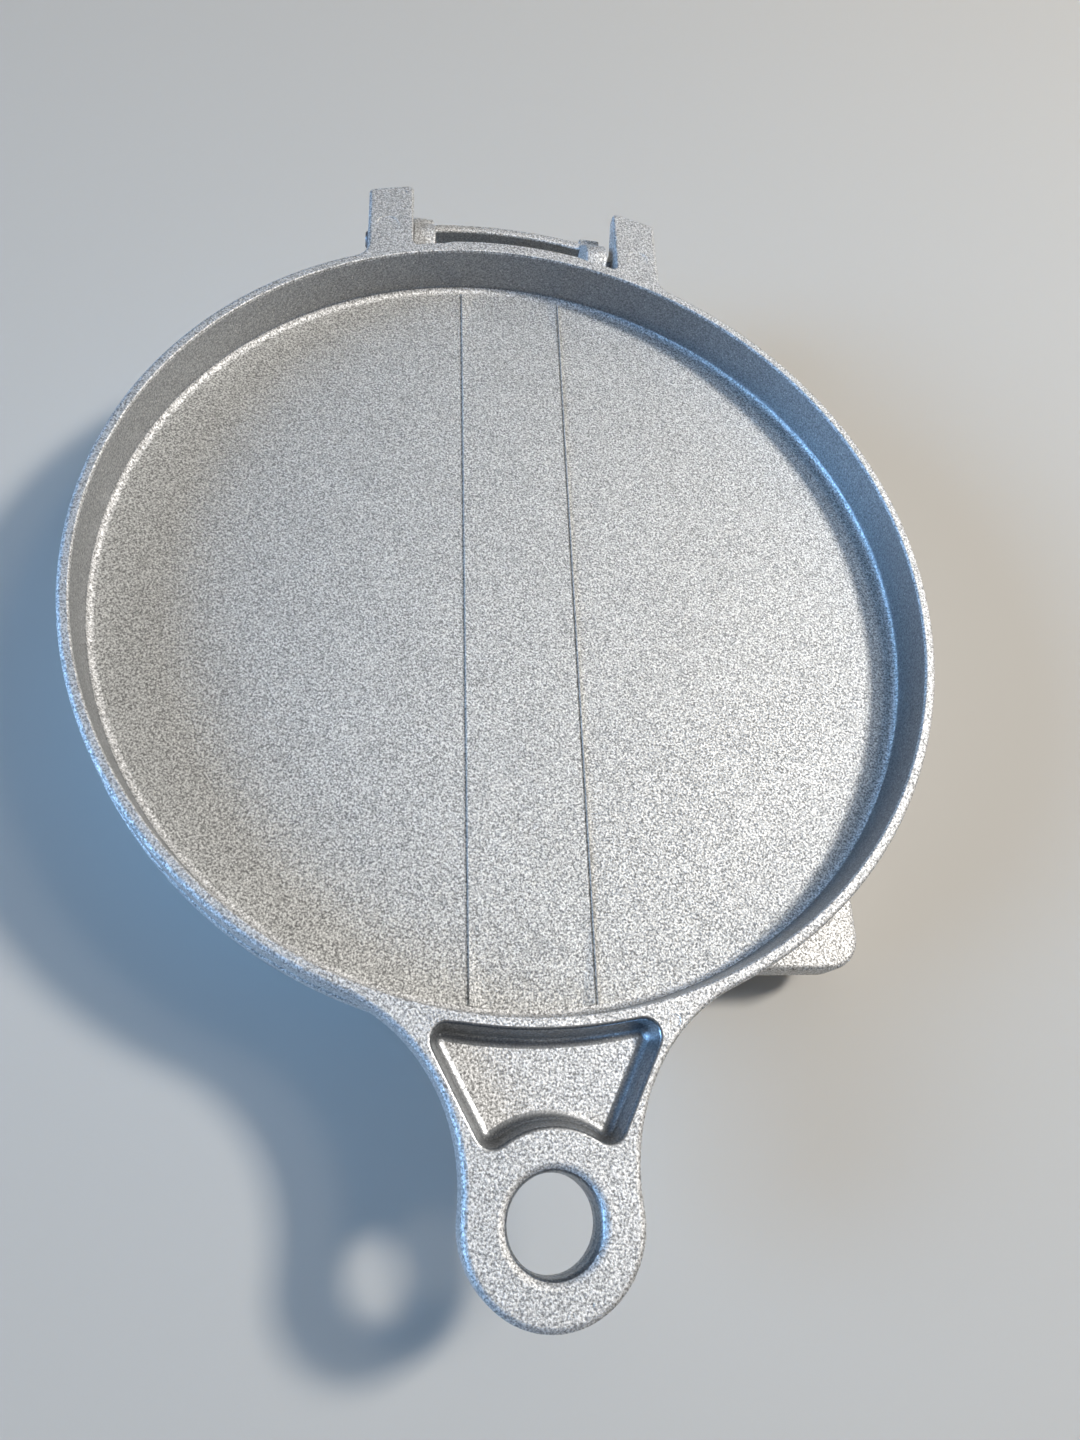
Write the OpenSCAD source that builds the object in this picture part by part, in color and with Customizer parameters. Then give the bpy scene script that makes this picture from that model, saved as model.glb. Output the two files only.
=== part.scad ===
// Stove-top waffle maker: two round cast plates, a rear hinge with two pressed pins.
// Millimetres. +Z is up, the foot ring stands on Z = 0, the handle points to -Y.
// The origin is the centre of the object's footprint; the discs are centred on disc_y.

/* [Plates] */
// Height of the closed waffle maker
total_h = 44; // [43:0.5:56]
// Outer radius of the upper plate's rim
rim_r = 106; // [90:0.5:130]
// How far the lower plate's lip stands out past the rim
lip_proud = 0.4; // [0:0.1:2]
// Height of the upper plate's rim above the joint line
rim_h = 8.5; // [7.5:0.5:10]
// Radius of the rounding on outer edges
edge_round = 1.1; // [0.5:0.1:1.5]
// Radius of the rounding under the upper plate's rim
edge_low = 0.3; // [0.1:0.1:1]
// Gap between the closed plates, on flat faces
joint_gap = 0.3; // [0.2:0.05:0.6]

/* [Top dish] */
// Width of the rim's top, between the dish and the outer edge
rim_w = 2.7; // [2:0.1:4]
// How much smaller the dish's radius is at its floor than at the rim
dish_draft = 0.9; // [0.3:0.1:2]
// Depth of the dish
dish_depth = 13.1; // [11:0.1:14]
// Fillet between the dish's wall and floor
dish_fillet = 1.8; // [0.8:0.1:3]
// Width of the raised strip across the dish floor
strip_w = 28.4; // [15:0.1:50]
// Height of the raised strip
strip_h = 0.35; // [0.2:0.05:0.8]

/* [Cooking faces] */
// Thickness of each plate's web
web_t = 3.4; // [2.5:0.1:5]
// Thickness of the wall between the dish floor's edge and the plug's outside
plug_wall = 1.6; // [1.3:0.1:1.8]
// Radial gap around the plug
plug_gap = 0.8; // [0.5:0.1:1.0]
// Width of the flat land around the cooking cavity, under the plug
land_w = 4.5; // [3:0.1:6]
// Height of the pegs that mould the waffle's pockets
peg_h = 4; // [2:0.25:5]
// Side of a peg
peg_w = 11; // [6:0.5:12]
// Distance from one peg to the next
peg_pitch = 15; // [13.5:0.5:20]
// Clear margin between the pegs and the cavity's wall
peg_margin = 3.5; // [1:0.5:40]
// Gap between the tips of upper and lower pegs
tip_gap = 4.6; // [4.3:0.1:6]

/* [Lower plate] */
// Height of the lip band
lip_h = 5; // [3:0.5:7]
// How far the wall steps in below the lip
lip_step = 1.2; // [0.8:0.1:2]
// How much smaller the wall's radius is at the foot than below the lip
wall_draft = 3.7; // [2:0.1:6]
// Width of the foot ring
foot_w = 3.6; // [2.5:0.1:5]

/* [Upper handle] */
// Distance from the rim to the centre of the hanging hole
hole_out = 35; // [32:0.5:50]
// Radius of the hanging hole
hole_r = 9; // [6:0.1:10]
// Rounding of the hole's upper edge
hole_round = 2.1; // [0.6:0.1:3]
// Rounding of the hole's lower edge
hole_round_low = 1.2; // [0.6:0.1:3]
// Radius of the handle's end
tip_r = 18; // [16:0.5:20]
// Radius of the hollow curves where the handle meets the disc
neck_r = 40; // [30:1:50]
// Depth of the handle's pocket
pocket_depth = 5.5; // [3:0.25:6]
// Half width of the pocket at the disc
pocket_far_w = 26.2; // [16:0.1:27]
// Half width of the pocket at the hole
pocket_near_w = 14; // [10:0.1:15]
// Land between the pocket and the dish
pocket_rim = 2.7; // [2:0.1:4]
// Land between the pocket and the hanging hole
pocket_land = 8.4; // [5:0.1:9]
// Corner radius of the pocket
pocket_corner = 2.6; // [1:0.1:3.5]

/* [Grip tab] */
// How far the tab's side lies inside the foot ring's radius
tab_side = 17.9; // [12:0.1:22]
// How far the tab's front lies inside the foot ring's radius
tab_front = 10.5; // [8:0.1:18]
// Corner radius of the tab
tab_corner = 8.5; // [5:0.5:12]
// Thickness of the tab
tab_t = 9; // [6:0.5:12]
// Height of the tab's underside above the table
tab_lift = 11.8; // [6:0.1:14]

/* [Hinge] */
// Distance from the rim to the hinge axis
hinge_out = 4.5; // [4.5:0.1:7]
// Depth of the hinge axis below the top of the rim
hinge_drop = 8; // [7:0.1:8.5]
// Radius of the hinge pins
pin_r = 2.2; // [1.5:0.1:2.6]
// Length of a hinge pin
pin_l = 20; // [18:0.5:20.5]
// How far a pin stands out of its ear
pin_proud = 0.7; // [0.3:0.1:1.2]
// Radial running clearance of a pin in its knuckle
pin_play = 0.06; // [0.02:0.01:0.1]
// Radius of the ears' metal around the pins
boss_r = 5; // [4.6:0.1:5.4]
// Radius of the knuckles
knuckle_r = 6; // [5.2:0.1:6]
// Distance from the middle plane to an ear's inner face
ear_in = 29; // [27:0.5:34]
// Width of an ear
ear_w = 12.3; // [9:0.1:15]
// How far the ears reach out past the rim
ear_l = 22; // [19:0.5:26]
// Thickness of an ear at its end
ear_tip_t = 2.6; // [2:0.1:4]
// Slope of the ears' underside in degrees
ear_slope = 26; // [20:1:30]
// Fillet between an ear's outer side and the rim
ear_fillet = 5; // [2:0.5:8]
// Width of a knuckle
knuckle_w = 6; // [4:0.5:6]
// Side gap between the left ear and its knuckle
side_gap_left = 0.3; // [0.2:0.1:1]
// Side gap between the right ear and its knuckle
side_gap_right = 2.1; // [0.3:0.1:2.5]
// How far the stop bar's back lies out past the rim
bar_out = 16.8; // [15:0.1:18]
// Width of the stop bar
bar_w = 2.6; // [2:0.1:3]
// Height of the stop bar
bar_h = 5; // [3:0.5:8]
// Depth of the arms that carry the knuckles and the bar
arm_h = 15; // [10:0.5:20]

/* [Hidden] */
$fn = 96;

cut = 1; // overshoot of every cutting solid
sink = 0.9; // share of a radius at which attached shapes start inside their disc
bar_back_a = 46; // angle of the flat behind each knuckle, from its axis

// levels
joint_z = total_h - rim_h;
lip_z = joint_z - joint_gap;
dish_z = total_h - dish_depth;
upper_face_z = dish_z - web_t;
land_z = upper_face_z - joint_gap;
lower_face_z = upper_face_z - 2 * peg_h - tip_gap;
recess_z = lower_face_z - web_t;
hinge_z = total_h - hinge_drop;

// radii about the discs' centre
lip_r = rim_r + lip_proud;
wall_r = lip_r - lip_step;
foot_r = wall_r - wall_draft;
dish_top_r = rim_r - rim_w;
dish_floor_r = dish_top_r - dish_draft;
plug_r = dish_floor_r + plug_wall;
lip_in_r = plug_r + plug_gap;
cavity_r = plug_r - land_w;
peg_field_r = cavity_r - peg_margin;
ear_tip_r = rim_r + ear_l;
bar_r = rim_r + bar_out;

// distances from the discs' centre
hole_y = rim_r + hole_out;
hinge_y = rim_r + hinge_out;
tab_x = foot_r - tab_side;
tab_y = foot_r - tab_front;

// plan: the footprint's middle is the origin, so the discs sit off it
ear_out = ear_in + ear_w;
ear_reach = sqrt(ear_tip_r * ear_tip_r - ear_in * ear_in);
disc_y = (hole_y + tip_r - ear_reach) / 2;
pin_end = ear_out + pin_proud;

// centre of the hollow curve between disc and handle, tangent to both circles
neck_a = rim_r + neck_r;
neck_b = tip_r + neck_r;
neck_y = -(neck_a * neck_a - neck_b * neck_b + hole_y * hole_y) / (2 * hole_y);
neck_x = sqrt(neck_a * neck_a - neck_y * neck_y);

// moves children from the discs' centre to the object's frame
module at_disc() {
    translate([0, disc_y, 0]) children();
}

// a 2D section in (Y, Z) drawn between two X positions
module across(x0, x1) {
    translate([x0, 0, 0])
        rotate([90, 0, 90])
            linear_extrude(x1 - x0) children();
}

// section of a round slab from the axis out to r, with both outer edges rounded
module slab_section(r, z0, z1, round_top, round_low) {
    difference() {
        translate([0, z0]) square([r, z1 - z0]);
        translate([r, z1]) edge_cutter(round_top, 1);
        translate([r, z0]) edge_cutter(round_low, -1);
    }
}

// what a rounding of radius e takes off an outer corner; up = 1 for a top corner
module edge_cutter(e, up) {
    difference() {
        translate([-e, up > 0 ? -e : -cut]) square(e + cut);
        translate([-e, -up * e]) circle(e);
    }
}

// points along an arc from angle a0 to a1
function arc(x, y, r, a0, a1, n) =
    [for (i = [0 : n]) let (a = a0 + (a1 - a0) * i / n) [x + r * cos(a), y + r * sin(a)]];

// square pegs on the cooking face, from z up to z + peg_h
module pegs(z) {
    span = floor(peg_field_r / peg_pitch);
    translate([0, 0, z]) linear_extrude(peg_h)
        for (i = [-span : span], j = [-span : span])
            if (norm([abs(i) * peg_pitch + peg_w / 2, abs(j) * peg_pitch + peg_w / 2]) < peg_field_r)
                translate([i * peg_pitch, j * peg_pitch]) square(peg_w, center = true);
}

// ---- upper plate -------------------------------------------------------

module upper_disc() {
    rotate_extrude() slab_section(rim_r, joint_z, total_h, edge_round, edge_low);
    translate([0, 0, upper_face_z]) cylinder(r = plug_r, h = joint_z + cut - upper_face_z);
}

module dish_cut() {
    rotate_extrude() difference() {
        polygon([
            [0, dish_z], [dish_floor_r, dish_z],
            [dish_top_r, total_h], [dish_top_r, total_h + cut], [0, total_h + cut]
        ]);
        difference() {
            translate([dish_floor_r - dish_fillet, dish_z]) square(dish_fillet);
            translate([dish_floor_r - dish_fillet, dish_z + dish_fillet]) circle(dish_fillet);
        }
    }
}

module strip() {
    intersection() {
        translate([-strip_w / 2, -dish_floor_r, dish_z - cut])
            cube([strip_w, 2 * dish_floor_r, strip_h + cut]);
        translate([0, 0, dish_z - 2 * cut]) cylinder(r = dish_floor_r, h = 3 * cut);
    }
}

// outline of the handle: the hollow curves run out of the rim and into the round end
function handle_outline() =
    let (rim_a = atan2(neck_y, neck_x), tip_a = atan2(neck_y + hole_y, neck_x))
    concat(
        [[0, 0]],
        arc(neck_x, neck_y, neck_r, rim_a + 180, tip_a + 180, 24),
        arc(0, -hole_y, tip_r, tip_a, -180 - tip_a, 48),
        arc(-neck_x, neck_y, neck_r, -tip_a, -rim_a, 24)
    );

module handle() {
    eye_r = (hole_r + hole_round + tip_r) / 2;
    difference() {
        translate([0, 0, joint_z]) linear_extrude(rim_h) polygon(handle_outline());
        translate([0, -hole_y, joint_z - cut]) cylinder(r = eye_r, h = rim_h + 2 * cut);
    }
    translate([0, -hole_y, 0]) rotate_extrude() eye_section(eye_r + cut / 2);
}

// section of the ring around the hanging hole, with rounded edges on the hole
module eye_section(r) {
    difference() {
        translate([hole_r, joint_z]) square([r - hole_r, rim_h]);
        translate([hole_r, total_h]) mirror([1, 0]) edge_cutter(hole_round, 1);
        translate([hole_r, joint_z]) mirror([1, 0]) edge_cutter(hole_round_low, -1);
    }
}

module pocket_outline() {
    far = rim_r;
    near = -hole_y + hole_r + pocket_land;
    difference() {
        polygon([
            [-pocket_far_w, -sqrt(far * far - pocket_far_w * pocket_far_w) + cut],
            [pocket_far_w, -sqrt(far * far - pocket_far_w * pocket_far_w) + cut],
            [pocket_far_w, -sqrt(far * far - pocket_far_w * pocket_far_w)],
            [pocket_near_w, near - pocket_corner],
            [-pocket_near_w, near - pocket_corner],
            [-pocket_far_w, -sqrt(far * far - pocket_far_w * pocket_far_w)]
        ]);
        circle(dish_top_r + pocket_rim);
        translate([0, -hole_y]) circle(hole_r + pocket_land);
    }
}

module pocket_cut() {
    translate([0, 0, total_h - pocket_depth])
        linear_extrude(pocket_depth + cut)
            offset(r = pocket_corner, $fn = 32) offset(delta = -pocket_corner) pocket_outline();
}

// side view of an ear: wedge with a boss around the pin
module ear_section() {
    drop = (ear_reach - hinge_y) * tan(ear_slope);
    low = total_h - ear_tip_t - drop;
    polygon([
        [rim_r * sink, total_h], [ear_tip_r, total_h],
        [ear_tip_r, low + (ear_tip_r - hinge_y) * tan(ear_slope)],
        [hinge_y, low], [hinge_y - boss_r, joint_z], [rim_r * sink, joint_z]
    ]);
    translate([hinge_y, hinge_z]) circle(boss_r);
}

module ear_root_fillet() {
    x = ear_out + ear_fillet;
    y = sqrt(pow(rim_r + ear_fillet, 2) - x * x);
    translate([0, 0, joint_z]) linear_extrude(rim_h) polygon(concat(
        [[ear_out - cut, y]],
        arc(x, y, ear_fillet, 180, 180 + atan2(y, x), 12),
        [[ear_out - cut, y * sink]]
    ));
}

module ears() {
    for (side = [0, 1]) mirror([side, 0, 0]) {
        intersection() {
            across(ear_in, ear_out) ear_section();
            cylinder(r = ear_tip_r, h = total_h + cut);
        }
        ear_root_fillet();
    }
}

module upper_plate() {
    color([0.72, 0.72, 0.71]) at_disc() {
        difference() {
            union() {
                upper_disc();
                handle();
                ears();
            }
            dish_cut();
            pocket_cut();
            for (side = [-1, 1])
                translate([side * (ear_in + ear_w / 2), hinge_y, hinge_z]) rotate([0, 90, 0])
                    cylinder(r = pin_r, h = ear_w + 2 * cut, center = true);
        }
        strip();
        mirror([0, 0, 1]) pegs(-upper_face_z);
    }
}

// ---- lower plate -------------------------------------------------------

module lower_solid_section() {
    slab_section(lip_r, lip_z - lip_h, lip_z, edge_round / 2, edge_round);
    polygon([[0, 0], [foot_r, 0], [wall_r, lip_z - lip_h + edge_round / 2], [0, lip_z - lip_h + edge_round / 2]]);
}

module lower_voids() {
    translate([0, 0, land_z]) cylinder(r = lip_in_r, h = total_h);
    translate([0, 0, lower_face_z]) cylinder(r = cavity_r, h = total_h);
    translate([0, 0, -cut]) cylinder(r = foot_r - foot_w, h = recess_z + cut);
}

// side view of an arm: bracket from the wall to the stop bar, with the knuckle on it
module arm_section() {
    back = bar_r - bar_w;
    start = cavity_r + cut;
    polygon([
        [start, lip_z], [hinge_y - knuckle_r * sink, lip_z], [hinge_y - knuckle_r * sink, hinge_z],
        [hinge_y + knuckle_r * cos(bar_back_a), hinge_z + knuckle_r * sin(bar_back_a)],
        [back, lip_z], [bar_r, lip_z], [bar_r, lip_z - bar_h],
        [foot_r, lip_z - arm_h], [start, lip_z - arm_h]
    ]);
    translate([hinge_y, hinge_z]) circle(knuckle_r);
}

module arms_and_bar() {
    left_x = -(ear_in - side_gap_left - knuckle_w);
    right_x = ear_in - side_gap_right - knuckle_w;
    intersection() {
        union() {
            across(left_x - knuckle_w, left_x) arm_section();
            across(right_x, right_x + knuckle_w) arm_section();
        }
        cylinder(r = bar_r, h = total_h + cut);
    }
    intersection() {
        translate([left_x - cut, 0, lip_z - bar_h])
            cube([right_x - left_x + 2 * cut, 2 * bar_r, bar_h]);
        difference() {
            cylinder(r = bar_r, h = total_h);
            translate([0, 0, -cut]) cylinder(r = bar_r - bar_w, h = total_h + 2 * cut);
        }
    }
}

// square-cornered grip that reaches out of the wall, to the right of the handle
module grip_tab() {
    inner_r = foot_r - foot_w / 2;
    translate([0, 0, tab_lift]) linear_extrude(tab_t) polygon(concat(
        [[sqrt(inner_r * inner_r - tab_y * tab_y), -tab_y]],
        arc(tab_x - tab_corner, -tab_y + tab_corner, tab_corner, -90, 0, 12),
        [[tab_x, -sqrt(inner_r * inner_r - tab_x * tab_x)]]
    ));
}

module lower_plate() {
    color([0.70, 0.70, 0.69]) at_disc() {
        difference() {
            union() {
                rotate_extrude() lower_solid_section();
                arms_and_bar();
                grip_tab();
            }
            lower_voids();
            translate([0, hinge_y, hinge_z]) rotate([0, 90, 0])
                cylinder(r = pin_r + pin_play, h = 2 * ear_in, center = true);
        }
        pegs(lower_face_z);
    }
}

// ---- hinge pins --------------------------------------------------------

module hinge_pin() {
    chamfer = pin_r / 6;
    rotate([0, 90, 0]) rotate_extrude() polygon([
        [0, 0], [pin_r - chamfer, 0], [pin_r, chamfer],
        [pin_r, pin_l - chamfer], [pin_r - chamfer, pin_l], [0, pin_l]
    ]);
}

module hinge_pin_left() {
    color([0.55, 0.55, 0.57]) at_disc()
        translate([-pin_end, hinge_y, hinge_z]) hinge_pin();
}

module hinge_pin_right() {
    color([0.55, 0.55, 0.57]) at_disc()
        translate([pin_end - pin_l, hinge_y, hinge_z]) hinge_pin();
}

lower_plate();
upper_plate();
hinge_pin_left();
hinge_pin_right();
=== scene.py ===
import math

import bmesh
import bpy
from mathutils import Matrix, Vector
from mathutils.geometry import delaunay_2d_cdt


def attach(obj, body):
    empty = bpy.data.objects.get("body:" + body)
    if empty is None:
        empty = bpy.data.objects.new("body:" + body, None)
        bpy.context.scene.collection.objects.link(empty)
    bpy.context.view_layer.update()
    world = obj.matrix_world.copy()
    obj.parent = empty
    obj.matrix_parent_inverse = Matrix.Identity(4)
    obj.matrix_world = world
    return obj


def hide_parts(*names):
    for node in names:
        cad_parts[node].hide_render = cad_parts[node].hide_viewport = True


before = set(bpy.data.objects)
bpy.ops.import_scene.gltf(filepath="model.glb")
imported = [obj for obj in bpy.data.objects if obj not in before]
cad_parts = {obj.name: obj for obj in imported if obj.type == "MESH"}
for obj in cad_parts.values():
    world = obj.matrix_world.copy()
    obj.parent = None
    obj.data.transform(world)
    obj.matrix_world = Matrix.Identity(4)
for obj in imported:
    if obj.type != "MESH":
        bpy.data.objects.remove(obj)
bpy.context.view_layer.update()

# Shapes are built in millimetres about the discs' centre, on the table, and moved to the
# object's frame when their mesh is made.
DISC_Y = 17.164
AROUND = 240  # points round a disc
SMOOTH_ANGLE = 32
# slot 1 is a smoother satin whose darker tone is painted shade, for faces that stand in shade
GRAINY, SATIN_PAINTED_SHADE, DISH = 0, 1, 2  # material slots of the castings

# levels
TOP, JOINT, LIP_Z = 44.0, 35.5, 35.2
PLUG_Z, LAND_Z, CAVITY_Z, RECESS_Z = 27.5, 27.2, 14.9, 11.5
# radii round the discs' centre
RIM, PLUG = 106.0, 104.0
LIP, LIP_IN, WALL, CAVITY = 106.4, 104.8, 105.2, 99.5
FOOT, FOOT_IN, RECESS = 101.5, 98.4, 97.7
INSIDE_FILLET = 1.8  # of the cavity and the underside recess
# dish, with its raised strip
DISH_TOP, DISH_LOW, DISH_Z, DISH_FILLET = 103.3, 102.4, 30.9, 1.8
STRIP, STRIP_H, SCRIBE_LEFT, SCRIBE_RIGHT = 14.2, 0.35, 0.34, 0.2
# handle
HOLE_Y, HOLE_R, TIP_R, NECK_R = -141.0, 9.0, 18.0, 40.0
HOLE_ROUND, HOLE_ROUND_LOW = 2.1, 1.2
PARTING_Z, PARTING = 39.3, 0.12
POCKET_FAR_X, POCKET_NEAR_X, POCKET_Z = 26.2, 14.0, 38.5
POCKET_WALL, POCKET_LAND, POCKET_DROP = 2.7, 8.4, 2.6
POCKET_CORNER, POCKET_ROUND, POCKET_DRAFT, POCKET_FILLET = 3.2, 0.8, 0.9, 2.1
# ears
EAR_IN, EAR_OUT, EAR_TIP, EAR_FILLET = 29.0, 41.3, 128.0, 5.0
EAR_CORNER, EAR_IN_FILLET = 1.3, 1.2
EAR_REACH, EAR_TIP_T, EAR_SLOPE = 124.67, 2.6, math.tan(math.radians(26))
EAR_BEND = EAR_REACH - (TOP - EAR_TIP_T - JOINT) / EAR_SLOPE
# the rim stands out by PAD between the ears, and by PAD_MORE between the knuckles
PAD, PAD_MORE, PAD_HALF_W, PAD_EASE = 0.3, 0.5, 20.5, 3
# edge roundings of the upper plate, as top and underside
HANDLE_EDGE, RIM_EDGE, EAR_EDGE, EAR_TIP_EDGE = (1.35, 1.2), (1.1, 0.35), (0.9, 0.5), (0.8, 0.4)
PAD_EDGE = (0.4, 0.35)
EDGE_DEPTH = 1.6  # the outline is straight below this
# ejector marks and casting pits on the top, as x, y, radius
MARKS = (-36.0, 108.6, 3.0), (35.3, 107.2, 3.0), (26.9, -104.4, 1.3)
PITS = (-31.4, 121.6, 0.5), (6.3, -154.6, 0.45), (2.6, -156.0, 0.35)
# hinge
HINGE_Y, HINGE_Z, BOSS, KNUCKLE = 110.5, 36.0, 5.0, 6.0
BAR, BAR_W, BAR_H, BAR_LEFT, BAR_RIGHT = 122.8, 2.6, 5.0, -23.2, 21.4
# arms, as from x, to x, y of the step round the lip, and their section
ARMS = (-28.7, -22.7, 102.38), (20.9, 26.9, 102.8)
ARM_ROOT, ARM_LOW, ARM_BACK_Z, KNUCKLE_APEX = 98.5, 19.0, 30.2, 50.07
STEP_Z, STEP_LOW = 34.8, 26.6
# pegs, with their profile as half width, height
PEG_PITCH, PEG_HALF_W, PEG_AREA = 15, 5.5, 96
PEG_PROFILE = (5.9, 0.0), (5.62, 0.1), (5.45, 0.45), (5.15, 3.3), (4.95, 3.75), (4.5, 4.0)
# grip tab
TAB_X, TAB_Y, TAB_ROOT, TAB_CORNER, TAB_Z, TAB_LOW = 83.6, -91.0, 100.5, 8.5, 20.8, 11.8


def heading(x, y):
    """Direction of a point from the centre, in degrees."""
    return math.degrees(math.atan2(y, x))


def arc(cx, cy, r, a0, a1, n, sign=1):
    """Points of an arc with their outward normals; sign -1 for a hollow curve."""
    out = []
    for i in range(n + 1):
        a = math.radians(a0 + (a1 - a0) * i / n)
        u, v = math.cos(a), math.sin(a)
        out.append((cx + r * u, cy + r * v, sign * u, sign * v))
    return out


def quarter(n):
    """Angles of a quarter turn in n steps, in radians."""
    return [math.pi / 2 * i / n for i in range(n + 1)]


def rounding(r, n):
    """(inset, drop) steps of a quarter round from a flat face to the side."""
    return [(r * (1 - math.sin(t)), r * (1 - math.cos(t))) for t in quarter(n)]


def rounded(points, n):
    """A polygon of (x, y, corner radius), counter-clockwise, as points with outward normals."""
    out = []
    for k, (x, y, r) in enumerate(points):
        p, q = Vector(points[k - 1][:2]), Vector(points[(k + 1) % len(points)][:2])
        c = Vector((x, y))
        a, b = (p - c).normalized(), (q - c).normalized()
        side = 1 if a.cross(b) < 0 else -1
        centre = c + (a + b).normalized() * (r / math.sin(a.angle(b) / 2))
        t0, t1 = math.atan2(a.x, -a.y), math.atan2(-b.x, b.y)
        turn = (t1 - t0 + math.pi) % (2 * math.pi) - math.pi
        steps = max(n, int(abs(turn) * r * 1.5))
        for i in range(steps + 1):
            u, v = math.cos(t0 + turn * i / steps), math.sin(t0 + turn * i / steps)
            out.append((centre.x + side * r * u, centre.y + side * r * v, u, v))
    return out


def inside(p, loop):
    """Whether a point lies inside a loop."""
    odd = False
    for a, b in zip(loop, loop[1:] + loop[:1]):
        if (a.y > p.y) != (b.y > p.y) and p.x < a.x + (p.y - a.y) * (b.x - a.x) / (b.y - a.y):
            odd = not odd
    return odd


class Solid:
    """Closed shells collected into one mesh. A ring is a list of indices of its points."""

    def __init__(self):
        self.points, self.faces, self.flat, self.mats = [], [], [], []

    def ring(self, points):
        base = len(self.points)
        self.points += [tuple(p) for p in points]
        return list(range(base, len(self.points)))

    def inset(self, outline, by, z):
        """A level ring inside an outline of (x, y, nx, ny)."""
        return self.ring([(x - u * by, y - v * by, z) for x, y, u, v in outline])

    def bridge(self, a, b, mat=GRAINY):
        """Faces between two rings; mat is one slot or a slot for each face."""
        n = len(a)
        for i in range(n):
            j = (i + 1) % n
            self.faces.append((a[i], a[j], b[j], b[i]))
            self.flat.append(False)
            self.mats.append(mat[i] if isinstance(mat, list) else mat)

    def skin(self, rings, mat=GRAINY):
        for a, b in zip(rings, rings[1:]):
            self.bridge(a, b, mat)

    def revolve(self, profile, n, cx=0, cy=0, mats=None):
        """Faces round an upright axis, from a profile of (r, z); returns the rings."""
        turns = [2 * math.pi * i / n for i in range(n)]
        rings = [self.ring([(cx + r * math.cos(t), cy + r * math.sin(t), z) for t in turns])
                 for r, z in profile]
        for i, (a, b) in enumerate(zip(rings, rings[1:])):
            self.bridge(a, b, mats[i] if mats else GRAINY)
        return rings

    def fill(self, loops, axes=(0, 1), mat=GRAINY, creases=(), extra=()):
        """Fills the first loop, seen along the third axis. The other loops are holes in it,
        extra are points and creases are edges that the faces must use."""
        def place(i):
            return Vector((self.points[i][axes[0]], self.points[i][axes[1]]))

        index = [i for loop in loops for i in loop] + list(extra)
        edges, start = [], 0
        for loop in loops:
            n = len(loop)
            edges += [(start + k, start + (k + 1) % n) for k in range(n)]
            start += n
        edges += [(index.index(a), index.index(b)) for a, b in creases]
        out = delaunay_2d_cdt([place(i) for i in index], edges, [], 1, 1e-5)
        back = [index[o[0]] for o in out[3]]
        holes = [[place(i) for i in loop] for loop in loops[1:]]
        for face in out[2]:
            mid = sum((out[0][i] for i in face), Vector((0, 0))) / len(face)
            if not any(inside(mid, hole) for hole in holes):
                self.faces.append(tuple(back[i] for i in face))
                self.flat.append(True)
                self.mats.append(mat)

    def close(self, rings, axes=(0, 1)):
        """Fills the first and the last ring."""
        self.fill([rings[0]], axes)
        self.fill([rings[-1]], axes)

    def prism(self, section, x0, x1, r):
        """A section of (y, z, ny, nz) carried along X, with its two side edges rounded by r."""
        ends = [(x0 + drop, inset) for inset, drop in rounding(r, 3)]
        ends += [(x1 - drop, inset) for inset, drop in reversed(rounding(r, 3))]
        rings = [self.ring([(x, y - u * inset, z - v * inset) for y, z, u, v in section])
                 for x, inset in ends]
        self.skin(rings)
        self.close(rings, (1, 2))

    def build(self, name, materials):
        """The mesh in metres, with smooth shading that stops at sharp edges and flat faces."""
        mesh = bpy.data.meshes.new(name)
        places = [(x / 1000, (y + DISC_Y) / 1000, z / 1000) for x, y, z in self.points]
        mesh.from_pydata(places, [], self.faces)
        for m in materials:
            mesh.materials.append(m)
        mesh.polygons.foreach_set("use_smooth", [not flat for flat in self.flat])
        mesh.polygons.foreach_set("material_index", self.mats)
        bm = bmesh.new()
        bm.from_mesh(mesh)
        bmesh.ops.recalc_face_normals(bm, faces=bm.faces)
        limit = math.radians(SMOOTH_ANGLE)
        for e in bm.edges:
            e.smooth = len(e.link_faces) == 2 and e.calc_face_angle(0) < limit
        bm.to_mesh(mesh)
        bm.free()
        ob = bpy.data.objects.new(name, mesh)
        bpy.context.scene.collection.objects.link(ob)
        return ob


def pegs(s, z, up):
    """Drafted pegs on a cooking face, filleted at the root; returns their root loops."""
    span = int(PEG_AREA / PEG_PITCH)
    base = rounded([(-1, -1, 0.2), (1, -1, 0.2), (1, 1, 0.2), (-1, 1, 0.2)], 3)
    roots = []
    for i in range(-span, span + 1):
        for j in range(-span, span + 1):
            cx, cy = i * PEG_PITCH, j * PEG_PITCH
            if math.hypot(abs(cx) + PEG_HALF_W, abs(cy) + PEG_HALF_W) < PEG_AREA:
                rings = [s.ring([(cx + x * w, cy + y * w, z + up * h) for x, y, u, v in base])
                         for w, h in PEG_PROFILE]
                s.skin(rings)
                s.fill([rings[-1]])
                roots.append(rings[0])
    return roots


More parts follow.
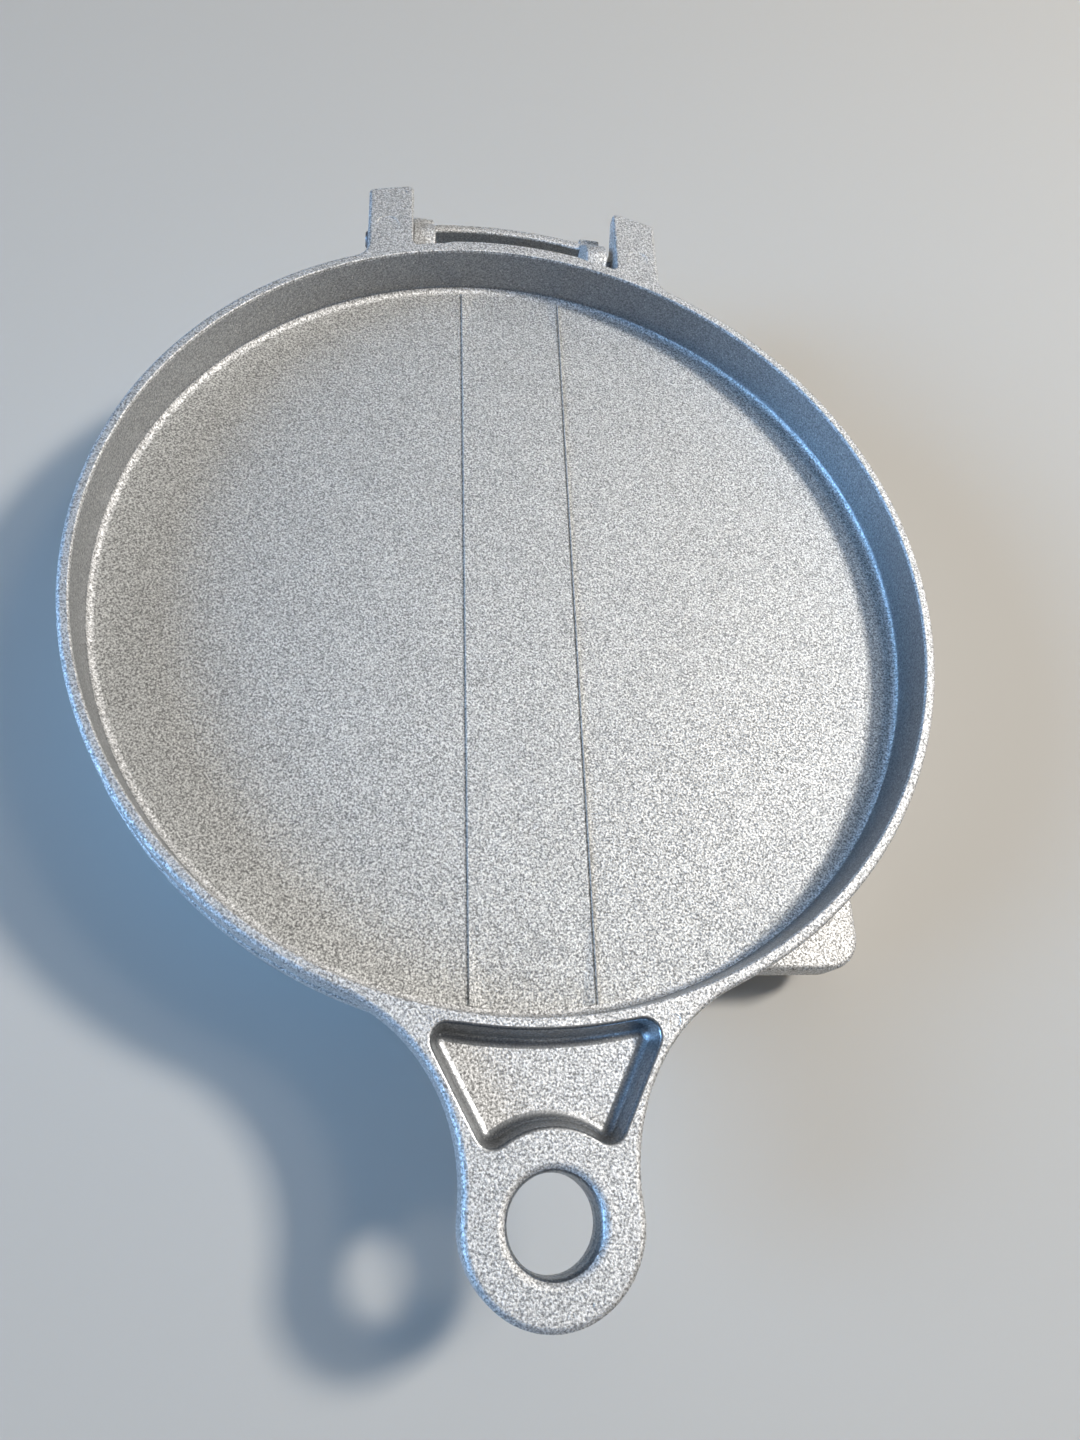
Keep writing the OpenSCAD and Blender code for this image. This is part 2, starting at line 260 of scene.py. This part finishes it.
# ---- upper plate ------------------------------------------------------------------
def half_outline():
    """Right half of the upper plate's plan, from the handle's tip to the back, as points of
    x, y, nx, ny, top rounding, lower rounding, underside level."""
    out = []

    def blend(a, b, t):
        return a + (b - a) * t

    def add(points, first, last=None, sloped=False):
        """Adds points whose edge roundings go from the first pair to the last one."""
        last = last or first
        for i, p in enumerate(points):
            t = i / max(1, len(points) - 1)
            slope = TOP - EAR_TIP_T - (EAR_REACH - p[1]) * EAR_SLOPE
            level = max(JOINT, slope) if sloped else JOINT
            out.append((*p, blend(first[0], last[0], t), blend(first[1], last[1], t), level))

    # handle's tip, hollow curve, rim and fillet at the ear
    to_rim, to_tip = RIM + NECK_R, TIP_R + NECK_R
    neck_y = -(to_rim ** 2 - to_tip ** 2 + HOLE_Y ** 2) / (-2 * HOLE_Y)
    neck_x = math.sqrt(to_rim ** 2 - neck_y ** 2)
    rim_a, tip_a = heading(neck_x, neck_y), heading(neck_x, neck_y - HOLE_Y)
    root_x = EAR_OUT + EAR_FILLET
    root_y = math.sqrt((RIM + EAR_FILLET) ** 2 - root_x ** 2)
    root_a = heading(root_x, root_y)
    add(arc(0, HOLE_Y, TIP_R, -90, tip_a, 40)[:-1], HANDLE_EDGE)
    neck = arc(neck_x, neck_y, NECK_R, tip_a + 180, rim_a + 180, 26, -1)
    add(neck[:-1], HANDLE_EDGE, RIM_EDGE)
    add(arc(0, 0, RIM, rim_a, root_a, 84)[:-1], RIM_EDGE)
    add(arc(root_x, root_y, EAR_FILLET, root_a + 180, 180, 12, -1), RIM_EDGE, EAR_EDGE)

    # ear, with two rounded corners at its end
    sides = root_y + 3, root_y + 6, EAR_BEND, EAR_BEND + 3
    add([(EAR_OUT, y, 1, 0) for y in sides], EAR_EDGE, sloped=True)
    c = EAR_CORNER
    out_x, in_x = EAR_OUT - c, EAR_IN + c
    out_y, in_y = (math.sqrt((EAR_TIP - c) ** 2 - x ** 2) for x in (out_x, in_x))
    out_a, in_a = heading(out_x, out_y), heading(in_x, in_y)
    add(arc(out_x, out_y, c, 0, out_a, 5)[:-1], EAR_TIP_EDGE, sloped=True)
    add(arc(0, 0, EAR_TIP, out_a, in_a, 5)[:-1], EAR_TIP_EDGE, sloped=True)
    add(arc(in_x, in_y, c, in_a, 180, 7), EAR_TIP_EDGE, sloped=True)

    # inner side, fillet and the rim's pad
    f, pad = EAR_IN_FILLET, RIM + PAD
    fillet_x = EAR_IN - f
    fillet_y = math.sqrt((pad + f) ** 2 - fillet_x ** 2)
    pad_a = heading(fillet_x, fillet_y)
    sides = EAR_BEND + 3, EAR_BEND, fillet_y + 6, fillet_y + 3
    add([(EAR_IN, y, -1, 0) for y in sides], (0.7, 0.4), (0.5, 0.4), sloped=True)
    fillet = arc(fillet_x, fillet_y, f, 0, pad_a - 180, 6, -1)
    add(fillet[:-1], (0.5, 0.35), PAD_EDGE)
    for x, y, u, v in arc(0, 0, 1, pad_a, 90, 24):
        r = pad + PAD_MORE * min(1, max(0, (PAD_HALF_W - x * RIM) / PAD_EASE))
        add([(x * r, y * r, u, v)], PAD_EDGE)
    return out


def mirrored(points):
    """The points in reverse order on the other side of the middle line."""
    return [(-p[0], p[1], -p[2], *p[3:]) for p in reversed(points)]


def pocket_outline():
    """The pocket's edge with outward normals: two slanted sides between an arc round the
    disc and an arc round the hole."""
    c, n = POCKET_CORNER, 6
    far, near = DISH_TOP + POCKET_WALL, HOLE_R + POCKET_LAND
    far_y, near_y = -math.sqrt(far ** 2 - POCKET_FAR_X ** 2), HOLE_Y + near - POCKET_DROP
    along = Vector((POCKET_FAR_X - POCKET_NEAR_X, far_y - near_y)).normalized()
    side = Vector((along.y, -along.x))
    p = Vector((POCKET_FAR_X, far_y)) - side * c

    def centre(cy, r, sign):
        """Centre of a rounded corner: on the line through p, at a distance r from (0, cy)."""
        m = p - Vector((0, cy))
        b = m.dot(along)
        return p + along * (-b + sign * math.sqrt(b * b - (m.length_squared - r * r)))

    far_c, near_c = centre(0, far + c, -1), centre(HOLE_Y, near + c, 1)
    side_a, far_a = heading(*side), heading(*far_c)
    near_a = heading(near_c.x, near_c.y - HOLE_Y)
    right = arc(*near_c, c, near_a - 180, side_a, n)[:-1]
    for t in (0.0, 0.33, 0.66):
        right.append((*(near_c + (far_c - near_c) * t + side * c), *side))
    right += arc(*far_c, c, side_a, far_a + 180, n)[:-1]
    out = right + arc(0, 0, far, far_a, -180 - far_a, 14, -1)[:-1] + mirrored(right)
    return out + arc(0, HOLE_Y, near, 180 - near_a, near_a, 12, -1)[1:-1]


def fill_dish(s, edge, r):
    """The dish's floor. The strip stands a little proud between two scribed lines."""
    lines = [(-STRIP - 0.85, 0.0), (-STRIP - 0.6, -SCRIBE_LEFT), (-STRIP - 0.15, -SCRIBE_LEFT),
             (-STRIP + 0.05, STRIP_H), (STRIP - 0.85, STRIP_H), (STRIP - 0.7, -SCRIBE_RIGHT),
             (STRIP - 0.5, -SCRIBE_RIGHT), (STRIP - 0.25, STRIP_H + 0.12), (STRIP + 0.2, 0.0)]
    extra, creases = [], []
    for x, h in lines:
        end = math.sqrt((r - 0.1) ** 2 - x * x)
        ys = -end + 0.3, *range(-80, 81, 20), end - 0.3
        middle = [(x, y, DISH_Z + h) for y in ys]
        row = s.ring([(x, -end, DISH_Z), *middle, (x, end, DISH_Z)])
        extra += row
        creases += list(zip(row, row[1:]))
    s.fill([edge], mat=DISH, extra=extra, creases=creases)


def upper_plate():
    s = Solid()
    half = half_outline()
    outline = half + mirrored(half[1:-1])
    tops = [s.ring([(x - u * a * i, y - v * a * i, TOP - a * d)
                    for x, y, u, v, a, b, z in outline]) for i, d in rounding(1.0, 5)]
    tops.append(s.ring([(x, y, TOP - EDGE_DEPTH) for x, y, u, v, a, b, z in outline]))
    low = [s.ring([(x - u * b * i, y - v * b * i, z + b * d)
                   for x, y, u, v, a, b, z in outline]) for i, d in rounding(1.0, 3)]
    s.skin(tops + low[::-1])

    # hanging hole, with the mould's parting line round its middle
    ridge = HOLE_R - PARTING
    profile = [(HOLE_R + i, TOP - d) for i, d in rounding(HOLE_ROUND, 8)]
    profile += [(HOLE_R, PARTING_Z + 0.5), (ridge, PARTING_Z + PARTING),
                (ridge, PARTING_Z - PARTING), (HOLE_R, PARTING_Z - 0.5)]
    profile += [(HOLE_R + i, JOINT + d) for i, d in reversed(rounding(HOLE_ROUND_LOW, 5))]
    # most of the hole's wall takes the darker satin: painted shade
    mats = [GRAINY] * 4 + [SATIN_PAINTED_SHADE] * (len(profile) - 5)
    eye = s.revolve(profile, 72, 0, HOLE_Y, mats)

    # dish
    profile = [(DISH_TOP + i, TOP - d) for i, d in rounding(0.35, 3)]
    profile += [(DISH_TOP - 0.05, TOP - 0.8)]
    floor_r = DISH_LOW - DISH_FILLET
    for t in quarter(6):
        r = floor_r + DISH_FILLET * math.cos(t) + 0.06 * math.cos(t)
        profile.append((r, DISH_Z + DISH_FILLET - DISH_FILLET * math.sin(t)))
    # the dish's wall and the top of its fillet take the darker satin: painted shade
    dish = s.revolve(profile, AROUND, mats=[GRAINY] * 4 + [SATIN_PAINTED_SHADE] * 3 + [GRAINY] * 4)

    # pocket
    edge = pocket_outline()
    profile = [(-i, TOP - d) for i, d in rounding(POCKET_ROUND, 5)]
    for t in quarter(6):
        profile.append((POCKET_DRAFT + POCKET_FILLET * (1 - math.cos(t)),
                        POCKET_Z + POCKET_FILLET * (1 - math.sin(t))))
    pocket = [s.inset(edge, i, z) for i, z in profile]
    # the pocket's walls take the darker satin: painted shade
    s.skin(pocket, SATIN_PAINTED_SHADE)
    s.fill([pocket[-1]])

    # ejector marks and small casting pits
    marks = [s.revolve([(r, TOP), (r - 0.15, TOP - 0.12)], 32, x, y) for x, y, r in MARKS]
    marks += [s.revolve([(r, TOP), (r * 0.7, TOP - 0.25), (r * 0.3, TOP - 0.4)], 10, x, y)
              for x, y, r in PITS]
    for m in marks:
        s.fill([m[-1]])

    # top face, dish floor, then the underside with its plug and pegs
    s.fill([tops[0], dish[0], pocket[0], eye[0]] + [m[0] for m in marks])
    fill_dish(s, dish[-1], floor_r)
    plug = s.revolve([(PLUG, JOINT), (PLUG - 0.1, PLUG_Z + 0.5), (PLUG - 0.3, PLUG_Z + 0.1),
                      (PLUG - 0.7, PLUG_Z)], AROUND)
    bend = [low[0][i] for i, p in enumerate(outline) if abs(p[1] - EAR_BEND) < 0.01]
    s.fill([low[0], plug[0], eye[-1]], creases=[bend[:2], bend[2:]])
    s.fill([plug[-1]] + pegs(s, PLUG_Z, -1))

    # bosses round the pins, a little wider than the ears
    section = [(HINGE_Y + x, HINGE_Z + y, u, v) for x, y, u, v in arc(0, 0, BOSS, 0, 360, 48)[:-1]]
    for x0, x1 in ((-EAR_OUT, -EAR_IN), (EAR_IN, EAR_OUT)):
        s.prism(section, x0 - 0.03, x1 + 0.03, 0.5)
    return s


# ---- lower plate --------------------------------------------------------------------
def quarter_round(cx, cz, rx, rz, swap=False):
    """A profile's quarter round from its side to its flat face, or the other way."""
    turn = quarter(4)
    return [(cx + rx * math.cos(t), cz + rz * math.sin(t)) for t in (turn[::-1] if swap else turn)]


def lower_plate():
    s = Solid()
    f = INSIDE_FILLET
    outer = quarter_round(LIP - 0.5, LIP_Z - 0.5, 0.5, 0.5, True)
    outer += quarter_round(LIP - 1.1, 31.3, 1.1, -1.1)
    outer += [(WALL - 0.05, 29.9), (WALL - 0.12, 29.4), (FOOT + 0.35, 3.0)]
    outer += quarter_round(FOOT - 0.8, 0.8, 0.8, -0.8)
    outer += [(FOOT_IN, 0.0), (FOOT_IN - 0.5, 0.4), (FOOT_IN - 0.65, 5.0)]
    outer += quarter_round(RECESS - f, RECESS_Z - f, f, f)
    inner = [(LIP_IN + 0.3, LIP_Z), (LIP_IN + 0.05, LIP_Z - 0.1), (LIP_IN, LIP_Z - 0.4)]
    inner += [(LIP_IN, LAND_Z + 0.5), (LIP_IN - 0.5, LAND_Z)]
    inner += [(CAVITY + 0.5, LAND_Z), (CAVITY + 0.1, LAND_Z - 0.15), (CAVITY, LAND_Z - 0.6)]
    inner += quarter_round(CAVITY - f, CAVITY_Z + f, f, -f)
    rings = s.revolve(inner[::-1] + outer, AROUND)
    s.fill([rings[0]] + pegs(s, CAVITY_Z, 1))
    s.fill([rings[-1]])

    # arms with the hinge knuckles on them
    bar_in, front = BAR - BAR_W, HINGE_Y - KNUCKLE
    for x0, x1, step in ARMS:
        section = rounded([
            (ARM_ROOT, ARM_LOW, 0.6), (BAR - 0.1, ARM_BACK_Z, 1.2), (BAR - 0.1, LIP_Z, 0.6),
            (bar_in, LIP_Z, 0.6), (front, KNUCKLE_APEX, KNUCKLE), (front, STEP_Z, 0.4),
            (step, STEP_Z, 0.6), (step, STEP_LOW, 0.4), (ARM_ROOT, STEP_LOW, 0.6)], 4)
        s.prism(section, x0, x1, 0.45)

    # stop bar
    section = rounded([(bar_in, LIP_Z - BAR_H, 0.5), (BAR, LIP_Z - BAR_H, 0.5),
                       (BAR, LIP_Z, 0.6), (bar_in, LIP_Z, 0.6)], 3)
    a0, a1 = (math.degrees(math.acos(x / BAR)) for x in (BAR_RIGHT, BAR_LEFT))
    rings = []
    for u, v, _, _ in arc(0, 0, 1, a0, a1, 24):
        rings.append(s.ring([(r * u, r * v, z) for r, z, _, _ in section]))
    # the bar's inner face, toward the plates, takes the darker satin: painted shade
    s.skin(rings, [GRAINY] * (len(section) - 1) + [SATIN_PAINTED_SHADE])
    s.close(rings, (1, 2))

    # grip tab
    c = TAB_CORNER
    root_x, root_y = (math.sqrt(TAB_ROOT ** 2 - w ** 2) for w in (TAB_Y, TAB_X))
    plan = [(root_x, TAB_Y, 0, 0), (root_x + 5, TAB_Y, 0, -1), (60, TAB_Y, 0, -1)]
    plan += arc(TAB_X - c, TAB_Y + c, c, -90, 0, 12)
    plan += [(TAB_X, -70.0, 1, 0), (TAB_X, -root_y - 4, 1, 0)]
    root = arc(0, 0, TAB_ROOT, heading(TAB_X, -root_y), heading(root_x, TAB_Y), 12)
    plan += [(x, y, 0, 0) for x, y, _, _ in root[:-1]]
    rings = [s.inset(plan, i, TAB_Z - d) for i, d in rounding(1.2, 4)]
    rings += [s.inset(plan, i, TAB_LOW + d) for i, d in reversed(rounding(0.7, 3))]
    s.skin(rings)
    s.close(rings)
    return s


# ---- camera, as fitted to the photo ---------------------------------------------------
def add_camera():
    right = Vector((0.98126, -0.03804, 0.18887))
    down = Vector((0.03779, -0.92326, -0.38231))
    forward = right.cross(down).normalized()
    down = forward.cross(right).normalized()
    cam = bpy.data.cameras.new("camera")
    cam.sensor_fit = "AUTO"
    cam.sensor_width = 36
    cam.lens = 25.084
    cam.clip_start = 0.01
    ob = bpy.data.objects.new("camera", cam)
    m = Matrix((right, -down, -forward)).transposed().to_4x4()
    m.translation = Vector((-0.04203, -0.10819, 0.25003))
    ob.matrix_world = m
    bpy.context.scene.collection.objects.link(ob)
    bpy.context.scene.camera = ob


add_camera()


# ---- materials ----------------------------------------------------------------------
def material(name):
    """A new material, with its nodes, links and main shader."""
    m = bpy.data.materials.new(name)
    m.use_nodes = True
    return m, m.node_tree.nodes, m.node_tree.links, m.node_tree.nodes["Principled BSDF"]


def add_node(nodes, kind, values=(), **settings):
    """A shader node; its settings come first, as they decide which inputs it has."""
    node = nodes.new("ShaderNode" + kind)
    for key, value in settings.items():
        setattr(node, key, value)
    for key, value in dict(values).items():
        node.inputs[key].default_value = value
    return node


def ranged(nodes, links, value, low, high, to_low, to_high):
    """Value mapped from low..high to to_low..to_high, clamped."""
    node = add_node(nodes, "MapRange", {
        "From Min": low, "From Max": high, "To Min": to_low, "To Max": to_high})
    links.new(value, node.inputs["Value"])
    return node.outputs["Result"]


def cast_metal(name, tone, grain, painted_glints, rough, bump):
    """Shot-blasted cast aluminium: fine grain, with small painted glints, near-white spots in the
    colour, scattered over it.
    """
    m, nodes, links, shader = material(name)
    place = add_node(nodes, "TexCoord")
    fine = add_node(nodes, "TexNoise", {"Scale": 2100, "Detail": 1.5, "Roughness": 0.65})
    cells = add_node(nodes, "TexVoronoi", {"Scale": 1600})
    broad = add_node(nodes, "TexNoise", {"Scale": 90, "Detail": 4})
    # the turn keeps flat faces off the noise's own planes
    turn = add_node(nodes, "Mapping", {"Rotation": (0.6, 0.5, 0.35)})
    links.new(place.outputs["Object"], turn.inputs["Vector"])
    for texture in (fine, cells, broad):
        links.new(turn.outputs["Vector"], texture.inputs["Vector"])

    # grain from dark to bright
    ramp = add_node(nodes, "ValToRGB")
    dark, bright = ramp.color_ramp.elements
    dark.position, bright.position = 0.34, 0.66
    dark.color = (*[c * (1 - grain) for c in tone], 1)
    bright.color = (*[min(0.95, c * (1 + grain)) for c in tone], 1)
    links.new(fine.outputs["Fac"], ramp.inputs["Fac"])

    # painted glints: the middles of a few cells are painted near white, standing in for light
    # sparkling off the grain
    dot = ranged(nodes, links, cells.outputs["Distance"], 0.42, 0.2, 0, 1)
    chance = ranged(nodes, links, cells.outputs["Color"], 0.6, 0.85, 0, painted_glints)
    painted_glint = add_node(nodes, "Math", operation="MULTIPLY")
    links.new(dot, painted_glint.inputs[0])
    links.new(chance, painted_glint.inputs[1])
    lit = add_node(nodes, "Mix", {"B": (0.86, 0.85, 0.82, 1)}, data_type="RGBA")
    links.new(painted_glint.outputs[0], lit.inputs["Factor"])
    links.new(ramp.outputs["Color"], lit.inputs["A"])

    # slow change of tone over the piece
    final = add_node(nodes, "VectorMath", operation="SCALE")
    tone_shift = ranged(nodes, links, broad.outputs["Fac"], 0.3, 0.7, 0.97, 1.03)
    links.new(lit.outputs["Result"], final.inputs[0])
    links.new(tone_shift, final.inputs["Scale"])
    links.new(final.outputs["Vector"], shader.inputs["Base Color"])

    roughness = ranged(nodes, links, fine.outputs["Fac"], 0.3, 0.7, rough + 0.1, rough - 0.1)
    links.new(roughness, shader.inputs["Roughness"])
    relief = add_node(nodes, "Bump", {"Strength": bump, "Distance": 0.0001})
    links.new(fine.outputs["Fac"], relief.inputs["Height"])
    links.new(relief.outputs["Normal"], shader.inputs["Normal"])
    shader.inputs["Metallic"].default_value = 1.0
    return m


# each: tone, grain, share of painted glints, roughness, bump
grainy = cast_metal("cast_aluminium", (0.66, 0.66, 0.65), 0.5, 0.9, 0.69, 1.0)
dish_floor = cast_metal("cast_aluminium_dish", (0.6, 0.6, 0.59), 0.47, 0.9, 0.73, 1.0)
# satin: a smoother finish for walls and hollows; its darker tone is painted shade
satin_painted_shade = cast_metal("cast_aluminium_satin_painted_shade", (0.35, 0.36, 0.37), 0.3, 0.6, 0.42, 0.5)
steel = cast_metal("pin_steel", (0.3, 0.3, 0.31), 0.1, 0.1, 0.35, 0.1)

# ---- pieces -------------------------------------------------------------------------
upper = upper_plate().build("upper_casting", [grainy, satin_painted_shade, dish_floor])
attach(upper, "upper")
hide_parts("upper_plate")
lower = lower_plate().build("lower_casting", [grainy, satin_painted_shade])
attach(lower, "lower")
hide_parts("lower_plate")
for name in ("hinge_pin_left", "hinge_pin_right"):
    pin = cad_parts[name]
    pin.data.materials.clear()
    pin.data.materials.append(steel)

# ---- floor and light ------------------------------------------------------------------
floor_paint, _, _, paint = material("floor")
paint.inputs["Base Color"].default_value = (0.57, 0.55, 0.51, 1)
paint.inputs["Roughness"].default_value = 0.85
floor_mesh = bpy.data.meshes.new("floor")
floor_mesh.from_pydata([(-3, -3, 0), (3, -3, 0), (3, 3, 0), (-3, 3, 0)], [], [(0, 1, 2, 3)])
floor_mesh.materials.append(floor_paint)
ground = bpy.data.objects.new("floor", floor_mesh)
bpy.context.scene.collection.objects.link(ground)


def add_world():
    """Soft light: bright overhead and to the back right, dimmer and cooler to the left and
    front. The background itself is plain."""
    world = bpy.data.worlds.new("world")
    world.use_nodes = True
    nodes, links = world.node_tree.nodes, world.node_tree.links
    background = nodes["Background"]
    place = add_node(nodes, "TexCoord")
    aim = add_node(nodes, "VectorMath", operation="DOT_PRODUCT")
    links.new(place.outputs["Generated"], aim.inputs[0])
    aim.inputs[1].default_value = Vector((0.45, 0.4, 0.84)).normalized()
    tint = add_node(nodes, "Mix", {"A": (0.025, 0.03, 0.045, 1), "B": (0.29, 0.29, 0.286, 1)},
                    data_type="RGBA")
    links.new(ranged(nodes, links, aim.outputs["Value"], 0.3, 0.92, 0, 1), tint.inputs["Factor"])
    path = add_node(nodes, "LightPath")
    seen = add_node(nodes, "Mix", {"B": (0.8, 0.8, 0.8, 1)}, data_type="RGBA")
    links.new(path.outputs["Is Camera Ray"], seen.inputs["Factor"])
    links.new(tint.outputs["Result"], seen.inputs["A"])
    links.new(seen.outputs["Result"], background.inputs["Color"])
    background.inputs["Strength"].default_value = 1.0
    bpy.context.scene.world = world


add_world()


def add_lamp(name, place, power, size, color, spread=180):
    """A square lamp that points at the origin; spread is in degrees."""
    lamp = bpy.data.lights.new(name, "AREA")
    lamp.spread = math.radians(spread)
    lamp.energy = power
    lamp.size = size
    lamp.color = color
    ob = bpy.data.objects.new(name, lamp)
    at = Vector(place)
    ob.matrix_world = Matrix.Translation(at) @ at.to_track_quat("Z", "Y").to_matrix().to_4x4()
    bpy.context.scene.collection.objects.link(ob)


add_lamp("key", (0.98, 0.24, 1.25), 18, 0.2, (1.0, 0.955, 0.9))
add_lamp("top", (0.62, 0.12, 1.3), 2, 0.2, (1.0, 0.97, 0.92))
add_lamp("fill", (-1.25, -0.15, 0.5), 2.0, 0.8, (0.3, 0.58, 1.0), 40)
bpy.context.scene.view_settings.view_transform = "Standard"
